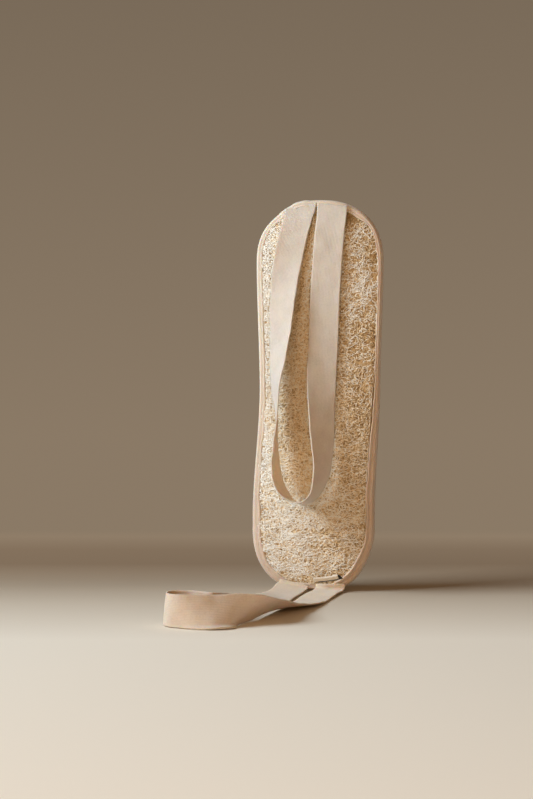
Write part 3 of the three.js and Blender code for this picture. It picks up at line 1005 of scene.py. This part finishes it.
def trimmed_face(shape, spacing, limit):
    """A bmesh grid over the pad's outline, drawn in to it at the edge."""
    sizes = shape.sizes
    wide = max(sizes.half_top, sizes.half_bottom) + sizes.lean
    face = bmesh.new()
    bmesh.ops.create_grid(
        face,
        x_segments=round(2 * wide / spacing),
        y_segments=round(sizes.height / spacing),
        size=0.5,
    )
    for vert in face.verts:
        vert.co = Vector((vert.co.x * 2 * wide, 0, (vert.co.y + 0.5) * sizes.height))
    places = np.array([vert.co for vert in face.verts])
    out = shape.spine(places[:, 0], places[:, 2])[2]
    reach = limit + EDGE_ROOM * spacing / sizes.half_waist
    spare = [vert for vert, share in zip(face.verts, out) if share > reach]
    bmesh.ops.delete(face, geom=spare, context="VERTS")
    places = np.array([vert.co for vert in face.verts])
    x, z = shape.keep_in(places[:, 0], places[:, 2], limit)
    for vert, a, b in zip(face.verts, x, z):
        vert.co = Vector((a, 0, b))
    return face, x, z


def close_pad(face, depth):
    """Draws a face out to another depth, so that it is a closed pad."""
    made = bmesh.ops.extrude_face_region(face, geom=list(face.faces), use_keep_orig=True)
    drawn = [part for part in made["geom"] if isinstance(part, bmesh.types.BMVert)]
    places = np.array([vert.co for vert in drawn])
    for vert, y in zip(drawn, depth(places[:, 0], places[:, 2])):
        vert.co.y = y
    bmesh.ops.recalc_face_normals(face, faces=list(face.faces))


def open_net(x, z):
    """1 high up on the right, where the net is more open, and 0 elsewhere."""
    return smooth(x / THIN_REACH) * smooth((z - THIN_LOW) / MIDDLE_EASE)


def fibre_lines(shape, look, rng, lie):
    """Wandering lines over the pad's front, as rows of x and z. Low down they lie across the pad."""
    x = rng.uniform(-FIBRE_SPREAD, FIBRE_SPREAD, 2 * look.count) * shape.sizes.half_top
    z = rng.uniform(0, 1, 2 * look.count) * shape.sizes.height
    kept = rng.uniform(0, 1, len(x)) > THIN_SHARE * open_net(x, z)
    inside = np.flatnonzero(kept & (shape.spine(x, z)[2] < shape.fibre_limit(x, z)))[: look.count]
    x, z = x[inside], z[inside]
    heading = rng.uniform(0, 2 * math.pi, len(x))
    turn = np.zeros(len(x))
    rows_x, rows_z = [x], [z]
    for _ in range(look.points - 1):
        low = LIE_LEAST + (1 - LIE_LEAST) * smooth((LIE_TOP - z) / LIE_EASE)
        turn = TURN_KEPT * turn + rng.normal(0, TURN_SPREAD, len(x))
        heading = heading + turn - lie * low * np.sin(2 * heading)
        x = x + look.step * np.cos(heading)
        z = z + look.step * np.sin(heading)
        x, z = shape.keep_in(x, z, shape.fibre_limit(x, z))
        rows_x.append(x)
        rows_z.append(z)
    return np.stack(rows_x, axis=1), np.stack(rows_z, axis=1)


def strand_mesh(name, lines, radius, thickness):
    """A mesh of thin strands along the lines, with each point's thickness as a share of the radius."""
    strands = bpy.data.curves.new(name, "CURVE")
    strands.dimensions = "3D"
    strands.bevel_depth = radius
    strands.bevel_resolution = 0
    strands.use_fill_caps = True
    for line, width in zip(lines, thickness):
        strand = strands.splines.new("POLY")
        strand.points.add(len(line) - 1)
        strand.points.foreach_set("co", np.column_stack((line, np.ones(len(line)))).ravel())
        strand.points.foreach_set("radius", width)
    holder = add_object(name, strands)
    bpy.context.view_layer.update()
    solid = holder.evaluated_get(bpy.context.evaluated_depsgraph_get())
    mesh = bpy.data.meshes.new_from_object(solid)
    bpy.data.objects.remove(holder)
    bpy.data.curves.remove(strands)
    return mesh


def set_tone(mesh, shape, look):
    """Gives each point of the fibres its tone, from its depth below the pad's front and from its place.
    Besides the fibre's own colour, the tone holds painted shade deep in the net, in the gaps where the
    loofah draws back, between and beside the hanging strands, above the foot and on the right, and painted
    light on the paler left side and the open upper right.
    """
    places = np.empty(len(mesh.vertices) * 3)
    mesh.vertices.foreach_get("co", places)
    x, y, z = places.reshape(-1, 3).T
    # Painted shade: points count as deeper, so browner, where the loofah draws back from the binding
    depth = y - shape.front(x, z) - lumps(x, z, look) + TUCK_SHARE * shape.tuck(x, z)
    higher = smooth((z - MIDDLE_LOW) / MIDDLE_EASE)
    # Painted shade between the two hanging strands, above the foot, and in strips beside the strands
    golden_painted_shade = MIDDLE_TONE * bell(x, MIDDLE_AT, MIDDLE_REACH) * higher
    golden_painted_shade = golden_painted_shade * (1 - MIDDLE_FADE * smooth((z - MIDDLE_HIGH) / MIDDLE_EASE))
    # Painted shade above the seam at the foot
    golden_painted_shade = golden_painted_shade + FOOT_TONE * smooth((FOOT_TOP - z) / FOOT_EASE)
    # Painted shadow of the hanging strands on the loofah
    for high, low in SHADE_STRIPS:
        line = low + (high - low) * (z - STRIP_LOW) / (STRIP_HIGH - STRIP_LOW)
        golden_painted_shade = golden_painted_shade + STRIP_TONE * bell(x, line, STRIP_REACH) * smooth((z - STRIP_LOW) / MIDDLE_EASE)
    # Painted shade on the right, away from the light and in the right strand's shadow
    low_side = smooth(x / SIDE_REACH) * smooth((SIDE_HIGH - z) / MIDDLE_EASE)
    brownest = bell(z, SIDE_MIDDLE, SIDE_SPREAD)
    browner = SIDE_TONE * low_side * (SIDE_LEAST + (1 - SIDE_LEAST) * brownest)
    browner = browner + LOW_TONE * bell(x, LOW_AT, LOW_REACH) * smooth((LOW_TOP - z) / LOW_EASE)
    # Painted light: whiter top curls over darker hollows on the open right, and a paler, calmer left side
    # that faces the light
    opened = open_net(x, z) * (1 - low_side)
    lit_left_side = smooth((CALM_FROM - x) / CALM_EASE) * higher
    paler_painted_light = PALE_TONE * lit_left_side + OPEN_TONE * opened
    contrast = 1 + OPEN_CONTRAST * opened + SIDE_CONTRAST * low_side - PALE_CONTRAST * lit_left_side
    value = TOP_TONE - contrast * depth / TONE_DEPTH - golden_painted_shade - browner + paler_painted_light
    tone = mesh.attributes.new("tone", "FLOAT", "POINT")
    tone.data.foreach_set("value", np.clip(value, 0, 1))


class SCRUBBER_OT_loofah(bpy.types.Operator):
    """Lays the net of fibres over the pad's shaded core"""

    bl_idname = "scrubber.loofah"
    bl_label = "Loofah"

    def execute(self, context):
        look = context.scene.scrubber_loofah
        shape = PadShape(context.scene.scrubber_pad)
        rng = np.random.default_rng(look.seed)
        self.make_core(shape, look)
        finish = fibre_material(look)
        for name, sink, thick, lie in NET_LAYERS:
            x, z = fibre_lines(shape, look, rng, lie)
            phase = rng.uniform(0, 2 * math.pi, (len(x), 1))
            steps = np.arange(look.points)[None, :]
            wave = NET_WAVE * np.sin(phase + steps * 2 * math.pi / NET_WAVE_STEPS)
            relief = lumps(x.ravel(), z.ravel(), look).reshape(x.shape)
            y = shape.front(x, z) + relief + sink + wave
            lines = np.stack((x, y, z), axis=2)
            width = rng.uniform(*FIBRE_WIDTHS, (len(x), 1)) * np.ones(look.points)
            mesh = strand_mesh(name, lines, thick * look.fibre, width)
            set_tone(mesh, shape, look)
            make_piece(name, mesh, [finish])
        return {"FINISHED"}

    def make_core(self, shape, look):
        """The shaded body of the pad, seen only between the fibres."""
        face, x, z = trimmed_face(shape, CORE_GRID, CORE_LIMIT)
        trench = smooth((shape.spine(x, z)[2] - shape.fibre_limit(x, z)) / TRENCH_EASE + 1)
        y = shape.front(x, z) + lumps(x, z, look) + CORE_DEPTH + TRENCH_DEPTH * trench
        for vert, depth in zip(face.verts, y):
            vert.co.y = depth
        close_pad(face, lambda a, b: shape.back(a, b) - CORE_BACK)
        core = make_piece("loofah_core", face, [core_material(look)], ["loofah"])


class SCRUBBER_OT_backing(bpy.types.Operator):
    """Makes the looped cotton cloth behind the loofah"""

    bl_idname = "scrubber.backing"
    bl_label = "Backing"

    def execute(self, context):
        shape = PadShape(context.scene.scrubber_pad)
        face, x, z = trimmed_face(shape, TERRY_GRID, TERRY_LIMIT)
        for vert, a, b, y in zip(face.verts, x, z, shape.back(x, z)):
            loops = TERRY_LOOP * rough(a, 0, b, TERRY_GRAIN, seed=1.7)
            slack = TERRY_LOOP * rough(a, 0, b, TERRY_SAG, seed=4.2)
            vert.co.y = y + loops + slack - TERRY_LOOP
        close_pad(face, lambda a, b: shape.back(a, b) - TERRY_THICK)
        finish = terry_material(context.scene.scrubber_cloth.terry)
        backing = make_piece("terry_backing", face, [finish], ["backing"])
        return {"FINISHED"}


def end_cover(x, inset):
    """How far the binding stands up over the sewn ends of the upper loop."""
    left, right = COVERED_ENDS
    ends = smooth((x - left + COVER_EASE) / COVER_EASE) * smooth((right + COVER_EASE - x) / COVER_EASE)
    return COVER_RISE * ends * smooth((COVER_INSET - inset) / MM)


def join_share(x):
    """1 where the binding's own ends lap over each other at the top, and 0 elsewhere."""
    left, right = BINDING_JOIN
    return smooth((x - left) / JOIN_EASE) * smooth((right - x) / JOIN_EASE)


def lip_widening(away, z):
    """1 at the lower corners, where the front lip is wider, and 0 elsewhere."""
    top = CORNER_TOP if away < 0 else RIGHT_CORNER_TOP
    return smooth(abs(away) / CORNER_AWAY) * smooth((top - z) / CORNER_EASE)


def lip_width(away, z, side):
    """The lip's width as a share of its usual one, which only the front lip departs from."""
    if side > 0:
        return 1.0
    start, full = RIGHT_AWAY
    narrowed = smooth((away - start) / (full - start)) * smooth((z - CORNER_TOP) / CORNER_EASE)
    return 1 - RIGHT_NARROWING * narrowed + CORNER_WIDENING * lip_widening(away, z)


def binding_spot(shape, edge, away, inset, proud, depth):
    """A point of the puckered binding beside a point of the outline.

    Proud is its depth low down on the right, and depth is that elsewhere."""
    free = smooth((inset - FREE_FROM) / FREE_EASE)
    side = math.copysign(1, depth)
    pucker = rough(edge[0], side, edge[1], PUCKER, seed=2.3)
    wander = rough(edge[0], side, edge[1], WANDER, seed=5.9)
    inward = lip_width(away[0], edge[1], side) * inset
    inward += free * (WANDER_IN * wander + PUCKER_IN * pucker)
    spot = edge - away * inward
    y = depth + (proud - depth) * shape.low_right(*edge)
    y += side * (PUCKER_OUT * free + PUCKER_LEAST) * pucker
    if side < 0:
        y -= CORNER_LIFT * free * lip_widening(away[0], edge[1])
    if edge[1] > NEAR_TOP * shape.sizes.height:
        lap = JOIN_RISE * join_share(edge[0])
        spot = spot + away * lap
        y += side * lap / 2
        y -= end_cover(edge[0], inset) if side < 0 else 0
    return Vector((spot[0], y, max(0.0, spot[1])))


class SCRUBBER_OT_binding(bpy.types.Operator):
    """Folds the cloth binding over the pad's edge"""

    bl_idname = "scrubber.binding"
    bl_label = "Binding"

    def execute(self, context):
        look = context.scene.scrubber_cloth
        shape = PadShape(context.scene.scrubber_pad)
        points, outward, length = shape.ring(RING_STATIONS)
        section = curve_through(np.array(BINDING_SECTION) * MM, SECTION_PER_STOP)
        run = distances(section[:, ::2])
        places = np.linspace(0, run[-1], SECTION_STEPS + 1)
        inset, proud, depth = [np.interp(places, run, column) for column in section.T]

        def place(along, over):
            station = round(along * RING_STATIONS) % RING_STATIONS
            row = round(over * SECTION_STEPS)
            return binding_spot(shape, points[station], outward[station], inset[row], proud[row], depth[row])

        flat = (length, run[-1])
        cloth = cloth_grid((RING_STATIONS, SECTION_STEPS), flat, place)
        bmesh.ops.remove_doubles(cloth, verts=list(cloth.verts), dist=TINY)
        bmesh.ops.recalc_face_normals(cloth, faces=list(cloth.faces))
        # Painted light: the binding goes over to its paler colour towards its upper left, where the light
        # falls
        painted_light = (look.binding_lit, LIT_SIDE_TURN, "X", *BINDING_LIT_SIDE)
        finish = weave_material(
            "binding_cloth", look.binding, pitch=0.8 * MM, relief=0.12 * MM, sheen=0.25, painted_light=painted_light
        )
        binding = make_piece("cloth_binding", cloth, [finish], ["binding"])
        thicken(binding, look.binding_thick, -1.0)
        return {"FINISHED"}


def tape_cloth(run, look, ease, seed, flare):
    """A bmesh of tape along its route, slightly cupped and creased, with one edge flared for a stretch."""
    first, last, depth = flare

    def place(along, over):
        index = round(along * TAPE_STATIONS)
        held = smooth(min(along, 1 - along) / TAPE_HELD)
        middle = run.edge[index] + run.across[index] * over
        crease = CREASE_HEIGHT * rough(*middle, CREASE, seed)
        wave = WAVE_HEIGHT * rough(*middle, WAVE, seed + 4)
        cup = CUP * (2 * over - 1) ** 2
        stretch = smooth((along - first) / FLARE_START) * smooth((last - along) / FLARE_END)
        turned = depth * stretch * max(0.0, 1 - over / FLARE_WIDTH)
        spot = run.at(index, over, held * ease * (crease + wave + cup) - turned)
        spot.z = max(spot.z, TAPE_CLEAR)
        return spot

    flat = (run.length, look.tape_width)
    return cloth_grid((TAPE_STATIONS, TAPE_ROWS), flat, place)


class SCRUBBER_OT_loops(bpy.types.Operator):
    """Hangs the upper tape loop and lays the lower one on the floor"""

    bl_idname = "scrubber.loops"
    bl_label = "Tape loops"

    def execute(self, context):
        look = context.scene.scrubber_cloth
        upper = self.finish("cotton_tape", look.tape, look.tape)
        # Painted light: the upper loop's inner side is a warmer copy of its tape
        inside = self.finish("cotton_tape_inside", look.tape_inside_warm_light, look.tape_inside_warm_light)
        # Painted shade: the lower loop's tape is a warmer copy of the tape, for its warm shade
        lower = self.finish("cotton_tape_low", look.tape_low_warm_shade, look.tape_foot_lit)
        # Name, route, node, finishes, how it is held, how free its folds are, seed and flare
        loops = (
            ("tape_upper_loop", UPPER_ROUTE, "upper_loop", (upper, inside), "hung", 1.25, 1.3, NO_FLARE),
            ("tape_lower_loop", LOWER_ROUTE, "lower_loop", (lower, lower), "laid", 0.9, 8.1, LIP_FLARE),
        )
        for name, route, node, finishes, held, ease, seed, flare in loops:
            run = TapeRun(route, look.tape_width, TAPE_STATIONS)
            cloth = tape_cloth(run, look, ease, seed, flare)
            bmesh.ops.recalc_face_normals(cloth, faces=list(cloth.faces))
            tape = make_piece(name, cloth, finishes, [node])
            thicken(tape, look.tape_thick, 0.0, inside=1)
        return {"FINISHED"}

    def finish(self, name, colour, lit_near_pad):
        """The tape's weave in a colour, with another near the pad; on the lower loop that one is painted
        light bounced from the pad.
        """
        # On the lower loop the second colour is painted light, bounced from the pad
        painted_light = (lit_near_pad, 0.0, "Y", *TAPE_FOOT_LIGHT)
        return weave_material(name, colour, pitch=0.85 * MM, relief=0.13 * MM, sheen=0.2, painted_light=painted_light)


class SCRUBBER_OT_label(bpy.types.Operator):
    """Folds the small bare label at the pad's foot"""

    bl_idname = "scrubber.label"
    bl_label = "Label"

    def execute(self, context):
        look = context.scene.scrubber_label
        turn = Matrix.Rotation(-LABEL_TILT, 4, "Y") @ Matrix.Rotation(-LABEL_RISE, 4, "X")

        def place(along, over):
            layer = 2 * over - 1
            behind = layer > 0
            reach = look.length - (0 if behind else LABEL_SHORT)
            out = look.length - reach * abs(layer) ** LABEL_BEND
            skew = LABEL_SKEW * smooth(layer) if behind else 0
            sideways = (along - 0.5) * look.width + skew
            lift = math.copysign(LABEL_GAP * (1 + along) * min(1, LABEL_PARTING * abs(layer)), layer)
            sag = LABEL_SAG * math.sin(math.pi * along)
            return LABEL_ROOT + turn @ Vector((sideways, -out, lift - sag))

        flat = (look.width, 2 * look.length - LABEL_SHORT)
        cloth = cloth_grid(LABEL_GRID, flat, place)
        label = make_piece("bare_label", cloth, label_materials(look), ["label"])
        thicken(label, LABEL_THICK, 0.0, inside=1)
        return {"FINISHED"}


def stitch_line(middle, ahead, up, look):
    """The points of one short stitch that dips into the cloth at its ends."""
    ahead = np.asarray(ahead) / np.linalg.norm(ahead)
    return [
        np.asarray(middle) + ahead * along * look.stitch + np.asarray(up) * rise * look.thread_radius
        for along, rise, _ in STITCH_SHAPE
    ]


class SCRUBBER_OT_sewing(bpy.types.Operator):
    """Sews the binding down along both lips"""

    bl_idname = "scrubber.sewing"
    bl_label = "Sewing"

    def execute(self, context):
        look = context.scene.scrubber_cloth
        shape = PadShape(context.scene.scrubber_pad)
        lines = self.binding_rows(shape, look)
        thickness = [[width for _, _, width in STITCH_SHAPE]] * len(lines)
        mesh = strand_mesh("sewing_thread", lines, look.thread_radius, thickness)
        make_piece("sewing_thread", mesh, [thread_material(look.thread)])
        return {"FINISHED"}

    def binding_rows(self, shape, look):
        """A row of stitches round each lip of the binding."""
        count = round(shape.ring(RING_STATIONS)[2] / (STITCH_EVERY * look.stitch))
        points, outward, _ = shape.ring(count)
        lines = []
        for groove in STITCH_GROOVES:
            inset, proud, depth = np.array(groove) * MM
            side = math.copysign(1, depth)
            for edge, away in zip(points, outward):
                near_top = edge[1] > NEAR_TOP * shape.sizes.height
                if side < 0 and near_top and end_cover(edge[0], inset) > 0:
                    continue
                middle = binding_spot(shape, edge, away, inset, proud, depth)
                middle.y -= side * STITCH_SINK
                lines.append(stitch_line(middle, (-away[1], 0, away[0]), (0, side, 0), look))
        return lines


class SCRUBBER_OT_stage(bpy.types.Operator):
    """Sets the floor, the soft light and the camera"""

    bl_idname = "scrubber.stage"
    bl_label = "Stage"

    def execute(self, context):
        look = context.scene.scrubber_stage
        self.make_plane("floor", FLOOR_HALF, Matrix.Identity(4), look.yaw, floor_material(look))
        for name, place, size, power, colour in LIGHTS:
            self.make_light(name, place, size, getattr(look, power), colour)
        stand = Matrix.Translation((0, BACKDROP_BEHIND, 0)) @ Matrix.Rotation(math.pi / 2, 4, "X")
        self.make_plane("backdrop", BACKDROP_HALF, stand, look.yaw, backdrop_material(look.backdrop))
        self.make_world(context.scene, look)
        self.make_camera(context.scene, look)
        context.scene.view_settings.view_transform = "Standard"
        return {"FINISHED"}

    def make_plane(self, name, half, place, yaw, material):
        """A flat piece of the stage, turned with the camera."""
        plane = bmesh.new()
        bmesh.ops.create_grid(plane, x_segments=STAGE_GRID, y_segments=STAGE_GRID, size=half)
        turn = Matrix.Rotation(yaw, 4, "Z")
        bmesh.ops.transform(plane, matrix=turn @ place, verts=list(plane.verts))
        mesh = mesh_from(name, plane)
        mesh.materials.append(material)
        add_object(name, mesh)

    def make_light(self, name, place, size, power, colour):
        """A square soft light aimed at the pad's middle."""
        light = bpy.data.lights.new(name, "AREA")
        light.size = size
        light.energy = power
        light.color = colour
        lamp = add_object(name, light)
        lamp.location = place
        aim = LIGHT_AIM - Vector(place)
        lamp.rotation_euler = aim.to_track_quat("-Z", "Y").to_euler()

    def make_world(self, scene, look):
        """Plain warm surroundings that fill the shade."""
        world = bpy.data.worlds.new("surroundings")
        world.use_nodes = True
        world.node_tree.nodes["Background"].inputs["Color"].default_value = (*look.air, 1.0)
        scene.world = world

    def make_camera(self, scene, look):
        """The camera at the photograph's angle."""
        lens = bpy.data.cameras.new("camera")
        lens.lens = look.lens
        camera = add_object("camera", lens)
        camera.location = look.camera
        camera.rotation_euler = (math.pi / 2 - look.pitch, 0, look.yaw)
        scene.camera = camera


class SCRUBBER_PT_panel(bpy.types.Panel):
    """Lists the scrubber's pieces"""

    bl_idname = "SCRUBBER_PT_panel"
    bl_label = "Loofah Back Scrubber"
    bl_space_type = "VIEW_3D"
    bl_region_type = "UI"
    bl_category = "Scrubber"

    def draw(self, context):
        for operator in OPERATORS:
            self.layout.operator(operator.bl_idname)


SETTINGS = (
    ("scrubber_pad", PadSizes),
    ("scrubber_loofah", LoofahLook),
    ("scrubber_cloth", ClothLook),
    ("scrubber_label", LabelLook),
    ("scrubber_stage", StageLook),
)
OPERATORS = (
    SCRUBBER_OT_stage,
    SCRUBBER_OT_loofah,
    SCRUBBER_OT_backing,
    SCRUBBER_OT_binding,
    SCRUBBER_OT_loops,
    SCRUBBER_OT_label,
    SCRUBBER_OT_sewing,
)


def register():
    """Registers the settings, the operators and the panel."""
    for name, group in SETTINGS:
        bpy.utils.register_class(group)
        setattr(bpy.types.Scene, name, PointerProperty(type=group))
    for made in (*OPERATORS, SCRUBBER_PT_panel):
        bpy.utils.register_class(made)


def unregister():
    """Takes back what register added."""
    for made in (SCRUBBER_PT_panel, *reversed(OPERATORS)):
        bpy.utils.unregister_class(made)
    for name, group in reversed(SETTINGS):
        delattr(bpy.types.Scene, name)
        bpy.utils.unregister_class(group)


def main():
    """Builds every piece in order."""
    register()
    for operator in OPERATORS:
        group, name = operator.bl_idname.split(".")
        getattr(getattr(bpy.ops, group), name)()


if __name__ == "__main__":
    main()
